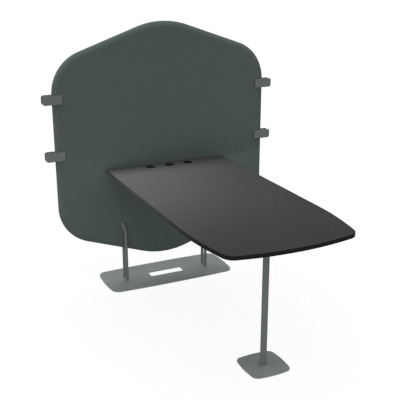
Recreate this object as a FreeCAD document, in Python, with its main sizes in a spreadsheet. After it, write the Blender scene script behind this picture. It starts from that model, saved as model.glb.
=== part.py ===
"""Desk with privacy screen: a six-sided upholstered screen on a slotted steel base, with a
long work surface that hangs from the screen at its back and stands on one post in front.

Lengths are millimetres. +X runs along the screen, +Y points from the desk to the screen's
rear, +Z is up. The origin is on the floor, in the middle of the whole object's footprint.
"""
import FreeCAD, Part
import math
import os
import re

import Sketcher
from FreeCAD import Placement, Rotation, Vector

doc = FreeCAD.newDocument("desk_with_privacy_screen")
sheet = doc.addObject("Spreadsheet::Sheet", "Sizes")

SIZES = {
    # Base plate under the screen
    "base_length": 822,
    "base_depth": 336,
    "base_thickness": 5,
    "base_end_bow": 14,
    "base_side_bow": 10,
    "base_corner_radius": 50,
    "plate_arris_radius": 1,
    "slot_length": 220,
    "slot_width": 64,
    "floor_pad_radius": 14,
    "floor_pad_thickness": 1,
    "base_pad_spread_x": 330,
    "base_pad_spread_y": 118,
    # Tubes that hold the screen between them
    "leg_side_inset": 402,
    "tube_diameter": 18.5,
    "tube_wall": 2,
    "tube_screen_gap": 0.3,
    "tube_kink_rise": 113,
    "tube_bend_radius": 40,
    "tube_lean_degrees": 17.5,
    "tube_tip_length": 60,
    "tube_plug_length": 26,
    "tube_cap_thickness": 2,
    "tube_cap_spigot": 8,
    "leg_bolt_radius": 4,
    "leg_bolt_head_radius": 6,
    "leg_bolt_head_height": 3,
    "leg_bolt_reach": 18,
    "clamp_bolt_radius": 2.5,
    "clamp_head_radius": 3.8,
    "clamp_head_height": 2.5,
    "clamp_low_rise": 40,
    "clamp_high_rise": 94,
    "clamp_sleeve_radius": 5,
    "spot_face_depth": 1,
    # Upholstered screen
    "screen_width": 1344,
    "screen_thickness": 28,
    "screen_side_low_z": 357,
    "screen_side_high_z": 1372.5,
    "screen_rise": 235.5,
    "screen_corner_radius": 248,
    "screen_apex_radius": 478,
    "screen_edge_radius": 13,
    "core_thickness": 16,
    "core_inset": 26,
    "core_corner_radius": 222,
    "core_apex_radius": 452,
    # Work surface
    "desk_top_z": 740,
    "desk_thickness": 20,
    "desk_width": 764,
    "desk_length": 1517,
    "desk_screen_gap": 12,
    "desk_straight_length": 1088,
    "desk_front_draw": 48,
    "desk_front_bow": 41,
    "desk_corner_radius": 62,
    "desk_arris_radius": 1,
    "edge_band_thickness": 2,
    # Cable grommets
    "grommet_pitch": 121,
    "grommet_back_inset": 57,
    "grommet_flange_radius": 30,
    "grommet_flange_thickness": 2.5,
    "grommet_sleeve_radius": 27,
    "grommet_sleeve_drop": 3,
    "cap_seat_radius": 25.6,
    "cap_seat_depth": 4.2,
    "cap_radius": 25.2,
    "cap_thickness": 4,
    "grommet_bore_radius": 22,
    "cable_notch_width": 18,
    "cable_notch_depth": 12.5,
    # Post and foot at the front
    "post_front_inset": 289,
    "post_diameter": 33,
    "post_wall": 2.5,
    "post_plug_length": 34,
    "flange_size": 120,
    "flange_thickness": 5,
    "flange_corner_radius": 16,
    "flange_screw_spread": 46,
    "foot_size": 222,
    "foot_bow": 10,
    "foot_thickness": 5,
    "foot_corner_radius": 34,
    "foot_pad_spread": 76,
    "foot_bolt_radius": 5,
    "foot_bolt_head_radius": 9,
    "foot_bolt_head_height": 3.5,
    "foot_bolt_reach": 26,
    # Angle brackets from the screen to the work surface
    "bracket_side_inset": 132,
    "bracket_width": 60,
    "bracket_thickness": 4,
    "bracket_bend_radius": 4,
    "bracket_corner_radius": 9,
    "bracket_height": 88,
    "bracket_reach": 120,
    "bracket_screw_spread": 18,
    "bracket_front_screw_inset": 26,
    "bracket_low_bolt_inset": 24,
    "wood_screw_radius": 2.2,
    "wood_screw_length": 16,
    "wood_screw_head_radius": 4.4,
    "wood_screw_head_height": 2.4,
    "screen_bolt_radius": 3,
    "screen_bolt_head_radius": 5.5,
    "screen_bolt_head_height": 3.4,
    "screen_insert_radius": 5,
    "screen_insert_length": 13,
    "bracket_spacer_radius": 7,
    # Link clips on the screen's sides
    "clip_upper_z": 1173,
    "clip_lower_z": 846,
    "clip_height": 54,
    "clip_grip": 56,
    "clip_reach": 55,
    "clip_cheek_thickness": 5,
    "clip_web_thickness": 5,
    "clip_gap": 0.3,
    "clip_corner_radius": 14,
    "clip_arris_radius": 1,
    "clip_screw_radius": 2,
    "clip_screw_head_radius": 3.8,
    "clip_screw_head_height": 2.2,
    "clip_screw_reach": 19,
    "clip_screw_spread": 15,
    "clip_screw_inset": 14,
    # Six-sided sockets in the heads, as shares of a head's radius and height
    "socket_share": 0.55,
    "socket_depth_share": 0.6,
    # Running past a face so that a cut is clean
    "cut_overrun": 5,
}

DERIVED = {
    "screen_half": "screen_thickness / 2",
    "desk_back_y": "-(screen_half + desk_screen_gap)",
    "desk_front_y": "desk_back_y - desk_length",
    "screen_y": "(-desk_front_y - base_depth / 2) / 2",
    "plate_z": "floor_pad_thickness",
    "base_top_z": "plate_z + base_thickness",
    "foot_top_z": "plate_z + foot_thickness",
    "tube_radius": "tube_diameter / 2",
    "tube_bore": "tube_radius - tube_wall",
    "tube_face_y": "screen_half + tube_screen_gap",
    "tube_y": "tube_face_y + tube_radius",
    "screen_slope": "screen_rise / (screen_width / 2)",
    "leg_x": "screen_width / 2 - leg_side_inset",
    "screen_foot_z": "screen_side_low_z - screen_rise + screen_slope * leg_x",
    "tube_kink_z": "screen_foot_z + tube_kink_rise",
    "clamp_low_z": "screen_foot_z + clamp_low_rise",
    "clamp_high_z": "screen_foot_z + clamp_high_rise",
    "core_apex_drop": "core_inset * sqrt(1 + screen_slope ^ 2)",
    "core_rise": "screen_rise - core_inset * screen_slope",
    "core_side_shift": "core_apex_drop - core_inset * screen_slope",
    "core_half": "core_thickness / 2",
    "desk_under_z": "desk_top_z - desk_thickness",
    "grommet_y": "desk_back_y - grommet_back_inset",
    "post_y": "desk_front_y + post_front_inset",
    "post_radius": "post_diameter / 2",
    "post_bore": "post_radius - post_wall",
    "flange_under_z": "desk_under_z - flange_thickness",
    "bracket_x": "desk_width / 2 - bracket_side_inset",
    "bracket_under_z": "desk_under_z - bracket_thickness",
    "bracket_face_y": "-(screen_half + bracket_thickness)",
    "bracket_high_bolt_z": "desk_under_z - bracket_low_bolt_inset",
    "bracket_low_bolt_z": "desk_under_z - bracket_height + bracket_low_bolt_inset",
    "bracket_front_screw_y": "bracket_face_y - bracket_reach + bracket_front_screw_inset",
    "bracket_back_screw_y": "bracket_face_y - bracket_front_screw_inset",
    "clip_inner_y": "screen_half + clip_gap",
    "clip_outer_y": "clip_inner_y + clip_cheek_thickness",
    "clip_inner_x": "screen_width / 2 - clip_grip",
    "clip_outer_x": "screen_width / 2 + clip_reach",
    "clip_web_x": "screen_width / 2 + clip_gap",
    "clip_screw_x": "clip_inner_x + clip_screw_inset",
}


def fill_sheet():
    """Write every driving size to its own row, under its own alias."""
    for row, (alias, size) in enumerate(SIZES.items(), start=1):
        sheet.set(f"A{row}", alias.replace("_", " "))
        sheet.set(f"B{row}", str(size))
        sheet.setAlias(f"B{row}", alias)
    doc.recompute()


def bind(text):
    """Turn a formula in plain size names into one that reads the sheet."""
    def look_up(match):
        word = match.group(0)
        if word in DERIVED:
            return f"({bind(DERIVED[word])})"
        return f"Sizes.{word}" if word in SIZES else word
    return re.sub(r"[a-z_]+", look_up, str(text))


def size(text):
    """The present value of a formula in size names."""
    return float(sheet.evalExpression(bind(text)))


def place(thing, x, y, z, rotation=None):
    """Place an object by formulas; y is counted from the screen's middle plane."""
    if rotation is not None:
        thing.Placement = Placement(Vector(), rotation)
    for axis, text in zip("xyz", (x, f"screen_y + {y}", z)):
        thing.setExpression(f"Placement.Base.{axis}", bind(text))


ALONG_Y = Rotation(Vector(1, 0, 0), -90)
FACE_FORWARD = Rotation(Vector(1, 0, 0), 90)
SIDE_ON = Rotation(Vector(1, 1, 1), 120)
# Two points this close, in millimetres, are the same corner
MATCH = 1e-3


def add(kind, name, **formulas):
    """A document object whose sizes are formulas."""
    thing = doc.addObject(kind, name)
    for prop, text in formulas.items():
        thing.setExpression(prop, bind(text))
    return thing


def block(name, x, y, z, length, width, height):
    """A box from its lowest corner."""
    thing = add("Part::Box", name, Length=length, Width=width, Height=height)
    place(thing, x, y, z)
    return thing


def rod(name, x, y, z, radius, height, rotation=None):
    """A round bar that runs up from its place, or along +Y."""
    thing = add("Part::Cylinder", name, Radius=radius, Height=height)
    place(thing, x, y, z, rotation)
    return thing


def socket(x, y, z, head_radius, head_height, rotation=None):
    """A six-sided tool that runs up from its place, or along +Y, to cut a head's driving socket."""
    thing = add("Part::Prism", "drive_socket", Circumradius=f"{head_radius} * socket_share",
                Height=f"{head_height} * socket_depth_share + cut_overrun")
    place(thing, x, y, z, rotation)
    return thing


def gather(kind, label, pieces):
    """Several solids as one object: a compound of pieces, or their union."""
    thing = doc.addObject(kind, label)
    if kind == "Part::Compound":
        thing.Links = pieces
    else:
        thing.Shapes = pieces
    thing.Label = label
    return thing


def cut(label, base, tools):
    """Take the union of the tools away from the base."""
    thing = doc.addObject("Part::Cut", label)
    thing.Base = base
    thing.Tool = tools[0] if len(tools) == 1 else gather("Part::MultiFuse", label + "_tools", tools)
    thing.Label = label
    return thing


def arc_radius(half_chord, bow):
    """The radius of an arc that stands a given bow above its chord."""
    return f"(({half_chord}) ^ 2 + ({bow}) ^ 2) / (2 * ({bow}))"


def new_body(name, z, rotation=None, y=0):
    body = doc.addObject("PartDesign::Body", name)
    body.Label = name
    place(body, 0, y, z, rotation)
    return body


def new_sketch(body, name):
    """A sketch on the body's own XY plane."""
    sketch = body.newObject("Sketcher::SketchObject", name)
    plane = next(item for item in body.Origin.OriginFeatures if item.Role == "XY_Plane")
    sketch.AttachmentSupport = [(plane, "")]
    sketch.MapMode = "FlatFace"
    return sketch


def fix_point(sketch, edge, end, x, y):
    """Hold one end of an edge at the coordinates that two formulas give."""
    for kind, axis, text in (("DistanceX", -2, x), ("DistanceY", -1, y)):
        if size(text) == 0:
            sketch.addConstraint(Sketcher.Constraint("PointOnObject", edge, end, axis))
            continue
        index = sketch.addConstraint(Sketcher.Constraint(kind, edge, end, size(text)))
        sketch.setExpression(f"Constraints[{index}]", bind(text))


def draw_outline(sketch, corners, radii=None):
    """A closed outline, counter-clockwise, of lines and, where a radius is given, outward arcs."""
    radii = radii or [None] * len(corners)
    points = [Vector(size(x), size(y), 0) for x, y in corners]
    for index, start in enumerate(points):
        end = points[(index + 1) % len(points)]
        if radii[index] is None:
            sketch.addGeometry(Part.LineSegment(start, end))
            continue
        chord = end - start
        radius = size(radii[index])
        bow = radius - math.sqrt(radius ** 2 - (chord.Length / 2) ** 2)
        outward = Vector(chord.y, -chord.x, 0).normalize()
        sketch.addGeometry(Part.Arc(start, (start + end) / 2 + outward * bow, end))
    for index, (x, y) in enumerate(corners):
        following = (index + 1) % len(corners)
        sketch.addConstraint(Sketcher.Constraint("Coincident", index, 2, following, 1))
        fix_point(sketch, index, 1, x, y)
    for index, text in enumerate(radii):
        if text is not None:
            held = sketch.addConstraint(Sketcher.Constraint("Radius", index, size(text)))
            sketch.setExpression(f"Constraints[{held}]", bind(text))


def draw_circle(sketch, x, y, radius):
    """A circle held by its centre and radius."""
    index = sketch.addGeometry(Part.Circle(Vector(size(x), size(y), 0), Vector(0, 0, 1), size(radius)))
    fix_point(sketch, index, 3, x, y)
    held = sketch.addConstraint(Sketcher.Constraint("Radius", index, size(radius)))
    sketch.setExpression(f"Constraints[{held}]", bind(radius))


def pad(body, sketch, height):
    feature = body.newObject("PartDesign::Pad", body.Name + "_pad")
    feature.Profile = sketch
    feature.setExpression("Length", bind(height))
    doc.recompute()
    return feature


def round_edges(body, base, radius, chosen):
    """Round the edges of the base feature that pass the test."""
    edges = [f"Edge{i}" for i, edge in enumerate(base.Shape.Edges, start=1) if chosen(edge)]
    feature = body.newObject("PartDesign::Fillet", body.Name + "_round")
    feature.Base = (base, edges)
    feature.setExpression("Radius", bind(radius))
    doc.recompute()
    return feature


def upright_at(points):
    """A test for upright edges of a padded outline that stand on the given corners."""
    def chosen(edge):
        box = edge.BoundBox
        if box.ZLength < MATCH or box.XLength > MATCH or box.YLength > MATCH:
            return False
        return any(math.hypot(box.XMin - x, box.YMin - y) < MATCH for x, y in points)
    return chosen


def lies_at(height):
    """A test for edges that lie flat at one height."""
    return lambda edge: edge.BoundBox.ZLength < MATCH and abs(edge.BoundBox.ZMin - height) < MATCH


def corner_places(corners):
    return [(size(x), size(y)) for x, y in corners]


def plate(name, z, height, corners, radii, rounding, rounded=None, arris=None, arris_levels=()):
    """A flat plate: an outline, padded, with rounded corners and, at some levels, a rounded arris."""
    body = new_body(name, z)
    sketch = new_sketch(body, name + "_outline")
    draw_outline(sketch, corners, radii)
    flat = pad(body, sketch, height)
    shaped = round_edges(body, flat, rounding, upright_at(corner_places(rounded or corners)))
    for level in arris_levels:
        shaped = round_edges(body, shaped, arris, lies_at(size(level)))
    return body


def bowed_rectangle(length, depth, end_bow, side_bow, middle="0"):
    """Corners and arc radii of a rectangle whose four sides bow outward to its full size."""
    half_x, half_y = f"({length} / 2 - {end_bow})", f"({depth} / 2 - {side_bow})"
    corners = [(f"-{half_x}", f"{middle} - {half_y}"), (half_x, f"{middle} - {half_y}"),
               (half_x, f"{middle} + {half_y}"), (f"-{half_x}", f"{middle} + {half_y}")]
    side, end = arc_radius(half_x, side_bow), arc_radius(half_y, end_bow)
    return corners, [side, end, side, end]


def hexagon(half_width, low, high, rise):
    """Corners of a six-sided outline with upright sides and a peak at its top and bottom."""
    return [("0", f"{low} - {rise}"), (half_width, low), (half_width, high),
            ("0", f"{high} + {rise}"), (f"-({half_width})", high), (f"-({half_width})", low)]


def six_sided(name, y, depth, corners, side_radius, apex_radius):
    """A six-sided slab that starts at y and reaches towards the desk."""
    body = new_body(name, 0, FACE_FORWARD, y)
    sketch = new_sketch(body, name + "_outline")
    draw_outline(sketch, corners)
    flat = pad(body, sketch, depth)
    sides = corner_places([corners[i] for i in (1, 2, 4, 5)])
    shaped = round_edges(body, flat, side_radius, upright_at(sides))
    peaks = corner_places([corners[0], corners[3]])
    shaped = round_edges(body, shaped, apex_radius, upright_at(peaks))
    return body, shaped


fill_sheet()
SIDES = {"left": "-1", "right": "1"}
nodes = []

# Tubes: upright from the base plate, with a kink at the top that leans outward
TUBE_ROWS = {"front": "-tube_y", "rear": "tube_y"}
LEAN = "tube_lean_degrees"
TANGENT = f"(tube_bend_radius * tan({LEAN} / 2))"


def leg_tube(row, side):
    """A hollow tube along a run, a bend and a leaning tip."""
    name = f"leg_tube_{row}_{side}"
    way = SIDES[side]
    body = new_body(name + "_pipe", "base_top_z", None, TUBE_ROWS[row])
    place(body, f"{way} * leg_x", TUBE_ROWS[row], "base_top_z")
    profile = new_sketch(body, name + "_ring")
    draw_circle(profile, "0", "0", "tube_radius")
    draw_circle(profile, "0", "0", "tube_bore")
    path = body.newObject("Sketcher::SketchObject", name + "_path")
    plane = next(item for item in body.Origin.OriginFeatures if item.Role == "XZ_Plane")
    path.AttachmentSupport = [(plane, "")]
    path.MapMode = "FlatFace"
    kink = "(tube_kink_z - base_top_z)"
    rise_end = ("0", f"{kink} - {TANGENT}")
    bend_end = (f"{way} * {TANGENT} * sin({LEAN})", f"{kink} + {TANGENT} * cos({LEAN})")
    tip = (f"{way} * tube_tip_length * sin({LEAN})", f"{kink} + tube_tip_length * cos({LEAN})")
    spots = [Vector(size(x), size(y), 0) for x, y in (("0", "0"), rise_end, bend_end, tip)]
    toward_kink = Vector(0, size(kink), 0)
    centre = Vector(float(way) * size("tube_bend_radius"), spots[1].y, 0)
    middle = centre + (toward_kink - centre).normalize() * size("tube_bend_radius")
    path.addGeometry(Part.LineSegment(spots[0], spots[1]))
    path.addGeometry(Part.Arc(spots[1], middle, spots[2]))
    path.addGeometry(Part.LineSegment(spots[2], spots[3]))
    start, end = (2, 1) if way == "1" else (1, 2)
    path.addConstraint(Sketcher.Constraint("Coincident", 0, 2, 1, start))
    path.addConstraint(Sketcher.Constraint("Coincident", 1, end, 2, 1))
    fix_point(path, 0, 1, "0", "0")
    fix_point(path, 0, 2, *rise_end)
    fix_point(path, 2, 1, *bend_end)
    fix_point(path, 2, 2, *tip)
    held = path.addConstraint(Sketcher.Constraint("Radius", 1, size("tube_bend_radius")))
    path.setExpression(f"Constraints[{held}]", bind("tube_bend_radius"))
    pipe = body.newObject("PartDesign::AdditivePipe", name + "_sweep")
    pipe.Profile = profile
    pipe.Spine = (path, ["Edge1", "Edge2", "Edge3"])
    doc.recompute()
    outward = "-1" if row == "front" else "1"
    x = f"{way} * leg_x"
    tools = []
    for level in ("clamp_low_z", "clamp_high_z"):
        through = f"{TUBE_ROWS[row]} - tube_radius - cut_overrun"
        tools.append(rod(name + "_hole", x, through, level, "clamp_bolt_radius",
                         "tube_diameter + 2 * cut_overrun", ALONG_Y))
        flat = f"{TUBE_ROWS[row]} + {outward} * (tube_radius - spot_face_depth)"
        face = flat if row == "rear" else f"{flat} - cut_overrun"
        tools.append(rod(name + "_spot_face", x, face, level, "clamp_head_radius", "cut_overrun", ALONG_Y))
    return cut(name, body, tools)


# Base plate with its slot, the tubes' bolt holes and its floor pads
LEG_PLACES = [(f"{way} * leg_x", y) for way in SIDES.values() for y in TUBE_ROWS.values()]


def base():
    corners, radii = bowed_rectangle("base_length", "base_depth", "base_end_bow", "base_side_bow")
    flat = plate("base_plate_blank", "plate_z", "base_thickness", corners, radii, "base_corner_radius",
                 arris="plate_arris_radius", arris_levels=["base_thickness"])
    tools = [block("base_slot", "-slot_length / 2", "-slot_width / 2", "plate_z - cut_overrun",
                   "slot_length", "slot_width", "base_thickness + 2 * cut_overrun")]
    bolts, plugs = [], []
    for x, y in LEG_PLACES:
        tools.append(rod("leg_bolt_hole", x, y, "plate_z", "leg_bolt_radius",
                         "base_thickness + cut_overrun"))
        tools.append(rod("leg_bolt_sink", x, y, "plate_z - cut_overrun", "leg_bolt_head_radius",
                         "cut_overrun + leg_bolt_head_height"))
        head = rod("leg_bolt_head", x, y, "plate_z", "leg_bolt_head_radius", "leg_bolt_head_height")
        shank = rod("leg_bolt_shank", x, y, "plate_z", "leg_bolt_radius", "base_thickness + leg_bolt_reach")
        blank = gather("Part::MultiFuse", "leg_bolt_blank", [head, shank])
        drive = socket(x, y, "plate_z - cut_overrun", "leg_bolt_head_radius", "leg_bolt_head_height")
        bolts.append(cut("leg_bolt", blank, [drive]))
        plug = rod("tube_plug_round", x, y, "base_top_z", "tube_bore", "tube_plug_length")
        thread = rod("tube_plug_thread", x, y, "base_top_z - cut_overrun", "leg_bolt_radius",
                     "cut_overrun + leg_bolt_reach")
        plugs.append(cut("tube_plug", plug, [thread]))
    pads = [rod("base_pad", f"{i} * base_pad_spread_x", f"{j} * base_pad_spread_y", "0",
                "floor_pad_radius", "floor_pad_thickness") for i in (-1, 0, 1) for j in (-1, 1)]
    nodes.append(cut("base_plate", flat, tools))
    nodes.append(gather("Part::Compound", "leg_bolts", bolts))
    nodes.append(gather("Part::Compound", "leg_tube_plugs", plugs))
    nodes.append(gather("Part::Compound", "base_floor_pads", pads))


def leg_tubes():
    for row in TUBE_ROWS:
        for side in SIDES:
            nodes.append(leg_tube(row, side))


def tube_caps():
    """Plugs with a thin lid in the leaning ends of the tubes."""
    caps = []
    for way in SIDES.values():
        for y in TUBE_ROWS.values():
            lean = Rotation(Vector(0, 1, 0), float(way) * size(LEAN))
            x = f"{way} * (leg_x + tube_tip_length * sin({LEAN}))"
            z = f"tube_kink_z + tube_tip_length * cos({LEAN})"
            lid = rod("tube_lid", x, y, z, "tube_radius", "tube_cap_thickness", lean)
            inward_x = f"{x} - {way} * tube_cap_spigot * sin({LEAN})"
            inward_z = f"{z} - tube_cap_spigot * cos({LEAN})"
            spigot = rod("tube_spigot", inward_x, y, inward_z, "tube_bore", "tube_cap_spigot", lean)
            caps.append(gather("Part::MultiFuse", "tube_cap", [lid, spigot]))
    nodes.append(gather("Part::Compound", "leg_tube_caps", caps))


# Clamp bolts through each pair of tubes, in sleeves through the screen
CLAMP_PLACES = [(f"{way} * leg_x", z) for way in SIDES.values()
                for z in ("clamp_low_z", "clamp_high_z")]
FLAT_Y = "(tube_y + tube_radius - spot_face_depth)"


def clamps():
    bolts, sleeves, holes = [], [], []
    for x, z in CLAMP_PLACES:
        shank = rod("clamp_shank", x, f"-{FLAT_Y}", z, "clamp_bolt_radius", f"2 * {FLAT_Y}", ALONG_Y)
        front = rod("clamp_head", x, f"-{FLAT_Y} - clamp_head_height", z, "clamp_head_radius",
                    "clamp_head_height", ALONG_Y)
        rear = rod("clamp_nut", x, FLAT_Y, z, "clamp_head_radius", "clamp_head_height", ALONG_Y)
        blank = gather("Part::MultiFuse", "clamp_bolt_blank", [shank, front, rear])
        drives = [socket(x, y, z, "clamp_head_radius", "clamp_head_height", ALONG_Y)
                  for y in (f"-{FLAT_Y} - clamp_head_height - cut_overrun",
                            f"{FLAT_Y} + clamp_head_height * (1 - socket_depth_share)")]
        bolts.append(cut("clamp_bolt", blank, drives))
        outer = rod("sleeve_round", x, "-tube_face_y", z, "clamp_sleeve_radius", "2 * tube_face_y", ALONG_Y)
        bore = rod("sleeve_bore", x, "-tube_face_y - cut_overrun", z, "clamp_bolt_radius",
                   "2 * (tube_face_y + cut_overrun)", ALONG_Y)
        sleeves.append(cut("clamp_sleeve", outer, [bore]))
        holes.append(rod("sleeve_hole", x, "-screen_half - cut_overrun", z, "clamp_sleeve_radius",
                         "screen_thickness + 2 * cut_overrun", ALONG_Y))
    nodes.append(gather("Part::Compound", "clamp_bolts", bolts))
    nodes.append(gather("Part::Compound", "clamp_sleeves", sleeves))
    return holes


# Angle brackets, their bolts into the screen's core and their screws into the work surface
BOLT_PLACES = [(f"{way} * bracket_x + {k} * bracket_screw_spread", z) for way in SIDES.values()
               for k in (-1, 1) for z in ("bracket_low_bolt_z", "bracket_high_bolt_z")]
SCREW_PLACES = [(f"{way} * bracket_x + {k} * bracket_screw_spread", y) for way in SIDES.values()
                for k in (-1, 1) for y in ("bracket_front_screw_y", "bracket_back_screw_y")]


def bent_angle(name, x):
    """A bent strip, seen side on: up the screen, round a bend and forward under the work surface."""
    body = new_body(name, 0)
    place(body, x, 0, 0, SIDE_ON)
    sketch = new_sketch(body, name + "_profile")
    arm_end, foot_z = "bracket_face_y - bracket_reach", "desk_under_z - bracket_height"
    outer_bend, inner_bend = ("-screen_half", "desk_under_z"), ("bracket_face_y", "bracket_under_z")
    draw_outline(sketch, [("-screen_half", foot_z), outer_bend, (arm_end, "desk_under_z"),
                          (arm_end, "bracket_under_z"), inner_bend, ("bracket_face_y", foot_z)])
    shaped = pad(body, sketch, "bracket_width")
    for corner, radius in ((inner_bend, "bracket_bend_radius"),
                           (outer_bend, "bracket_bend_radius + bracket_thickness")):
        shaped = round_edges(body, shaped, radius, upright_at(corner_places([corner])))
    thickness = size("bracket_thickness")
    round_edges(body, shaped, "bracket_corner_radius",
                lambda edge: edge.BoundBox.ZLength < MATCH and abs(edge.Length - thickness) < MATCH)
    return body


def brackets():
    for side, way in SIDES.items():
        blank = bent_angle(f"desk_bracket_{side}_blank", f"{way} * bracket_x - bracket_width / 2")
        tools = [rod("bracket_bolt_hole", bx, "bracket_face_y - cut_overrun", bz, "screen_bolt_radius",
                     "bracket_thickness + 2 * cut_overrun", ALONG_Y)
                 for bx, bz in BOLT_PLACES if bx.startswith(f"{way} ")]
        tools += [rod("bracket_screw_hole", sx, sy, "bracket_under_z - cut_overrun", "wood_screw_radius",
                      "bracket_thickness + 2 * cut_overrun")
                  for sx, sy in SCREW_PLACES if sx.startswith(f"{way} ")]
        nodes.append(cut(f"desk_bracket_{side}", blank, tools))


def screen_bolts():
    """Bolts, the inserts they thread into and the spacers that carry the brackets on the core."""
    bolts, inserts, spacers, holes = [], [], [], []
    for x, z in BOLT_PLACES:
        head = rod("screen_bolt_head", x, "bracket_face_y - screen_bolt_head_height", z,
                   "screen_bolt_head_radius", "screen_bolt_head_height", ALONG_Y)
        reach = "(screen_half - core_half + bracket_thickness + screen_insert_length)"
        shank = rod("screen_bolt_shank", x, "bracket_face_y", z, "screen_bolt_radius", reach, ALONG_Y)
        blank = gather("Part::MultiFuse", "screen_bolt_blank", [head, shank])
        drive = socket(x, "bracket_face_y - screen_bolt_head_height - cut_overrun", z,
                       "screen_bolt_head_radius", "screen_bolt_head_height", ALONG_Y)
        bolts.append(cut("screen_bolt", blank, [drive]))
        plug = rod("insert_round", x, "-core_half", z, "screen_insert_radius",
                   "screen_insert_length", ALONG_Y)
        bore = rod("insert_bore", x, "-core_half - cut_overrun", z, "screen_bolt_radius",
                   "screen_insert_length + 2 * cut_overrun", ALONG_Y)
        inserts.append(cut("screen_insert", plug, [bore]))
        ring = rod("spacer_round", x, "-screen_half", z, "bracket_spacer_radius",
                   "screen_half - core_half", ALONG_Y)
        ring_bore = rod("spacer_bore", x, "-screen_half - cut_overrun", z, "screen_bolt_radius",
                        "screen_half - core_half + 2 * cut_overrun", ALONG_Y)
        spacers.append(cut("bracket_spacer", ring, [ring_bore]))
        holes.append(rod("insert_hole", x, "-core_half - cut_overrun", z, "screen_insert_radius",
                         "screen_insert_length + cut_overrun", ALONG_Y))
        holes.append(rod("spacer_hole", x, "-screen_half - cut_overrun", z, "bracket_spacer_radius",
                         "screen_half - core_half + cut_overrun", ALONG_Y))
    nodes.append(gather("Part::Compound", "bracket_bolts", bolts))
    nodes.append(gather("Part::Compound", "screen_core_inserts", inserts))
    nodes.append(gather("Part::Compound", "bracket_spacers", spacers))
    return holes


def wood_screws(label, places, seat_z):
    """Pan-head screws driven up into the work surface from a seat below it, and their holes."""
    screws, holes = [], []
    for x, y in places:
        head = rod(label + "_head", x, y, f"{seat_z} - wood_screw_head_height", "wood_screw_head_radius",
                   "wood_screw_head_height")
        shank = rod(label + "_shank", x, y, seat_z, "wood_screw_radius", "wood_screw_length")
        blank = gather("Part::MultiFuse", label + "_blank", [head, shank])
        drive = socket(x, y, f"{seat_z} - wood_screw_head_height - cut_overrun", "wood_screw_head_radius",
                       "wood_screw_head_height")
        screws.append(cut(label + "_screw", blank, [drive]))
        holes.append(rod(label + "_hole", x, y, seat_z, "wood_screw_radius", "wood_screw_length"))
    nodes.append(gather("Part::Compound", label, screws))
    return holes


# Link clips: two cheeks and a web, which grip the screen's side and stand open outward
CLIP_LEVELS = {"upper": "clip_upper_z", "lower": "clip_lower_z"}
CLIP_SCREW_PLACES = [(f"{way} * clip_screw_x", f"{level} + {k} * clip_screw_spread")
                     for way in SIDES.values() for level in CLIP_LEVELS.values() for k in (-1, 1)]


def clip_cheek(name, way, level, y, outer_face):
    """A flat cheek, upright, with its outer corners and the arris of its outer face rounded."""
    body = new_body(name, 0, FACE_FORWARD, y)
    sketch = new_sketch(body, name + "_outline")
    low, high = f"{level} - clip_height / 2", f"{level} + clip_height / 2"
    near_x, far_x = ("clip_inner_x", "clip_outer_x") if way == "1" else ("-clip_outer_x", "-clip_inner_x")
    corners = [(near_x, low), (far_x, low), (far_x, high), (near_x, high)]
    draw_outline(sketch, corners)
    flat = pad(body, sketch, "clip_cheek_thickness")
    outer = [corners[i] for i in ((1, 2) if way == "1" else (0, 3))]
    shaped = round_edges(body, flat, "clip_corner_radius", upright_at(corner_places(outer)))
    round_edges(body, shaped, "clip_arris_radius", lies_at(size(outer_face)))
    return body


def link_clips():
    for side, way in SIDES.items():
        for word, level in CLIP_LEVELS.items():
            name = f"link_clip_{side}_{word}"
            front = clip_cheek(name + "_front", way, level, "-clip_inner_y", "clip_cheek_thickness")
            rear = clip_cheek(name + "_rear", way, level, "clip_outer_y", "0")
            web_x = "clip_web_x" if way == "1" else "-(clip_web_x + clip_web_thickness)"
            web = block(name + "_web", web_x, "-clip_inner_y", f"{level} - clip_height / 2",
                        "clip_web_thickness", "2 * clip_inner_y", "clip_height")
            blank = gather("Part::MultiFuse", name + "_blank", [front, rear, web])
            tools = [rod(name + "_hole", x, "clip_inner_y - cut_overrun", z, "clip_screw_radius",
                         "clip_cheek_thickness + 2 * cut_overrun", ALONG_Y)
                     for x, z in CLIP_SCREW_PLACES if x.startswith(f"{way} ") and level in z]
            nodes.append(cut(name, blank, tools))


def clip_screws():
    """Screws through each rear cheek and the rear padding into the core."""
    screws, holes = [], []
    for x, z in CLIP_SCREW_PLACES:
        start = "clip_outer_y - clip_screw_reach"
        shank = rod("clip_screw_shank", x, start, z, "clip_screw_radius", "clip_screw_reach", ALONG_Y)
        head = rod("clip_screw_head", x, "clip_outer_y", z, "clip_screw_head_radius",
                   "clip_screw_head_height", ALONG_Y)
        blank = gather("Part::MultiFuse", "clip_screw_blank", [shank, head])
        drive = socket(x, "clip_outer_y + clip_screw_head_height * (1 - socket_depth_share)", z,
                       "clip_screw_head_radius", "clip_screw_head_height", ALONG_Y)
        screws.append(cut("clip_screw", blank, [drive]))
        holes.append(rod("clip_screw_hole", x, start, z, "clip_screw_radius",
                         "clip_screw_reach + cut_overrun", ALONG_Y))
    nodes.append(gather("Part::Compound", "clip_screws", screws))
    return holes


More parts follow.
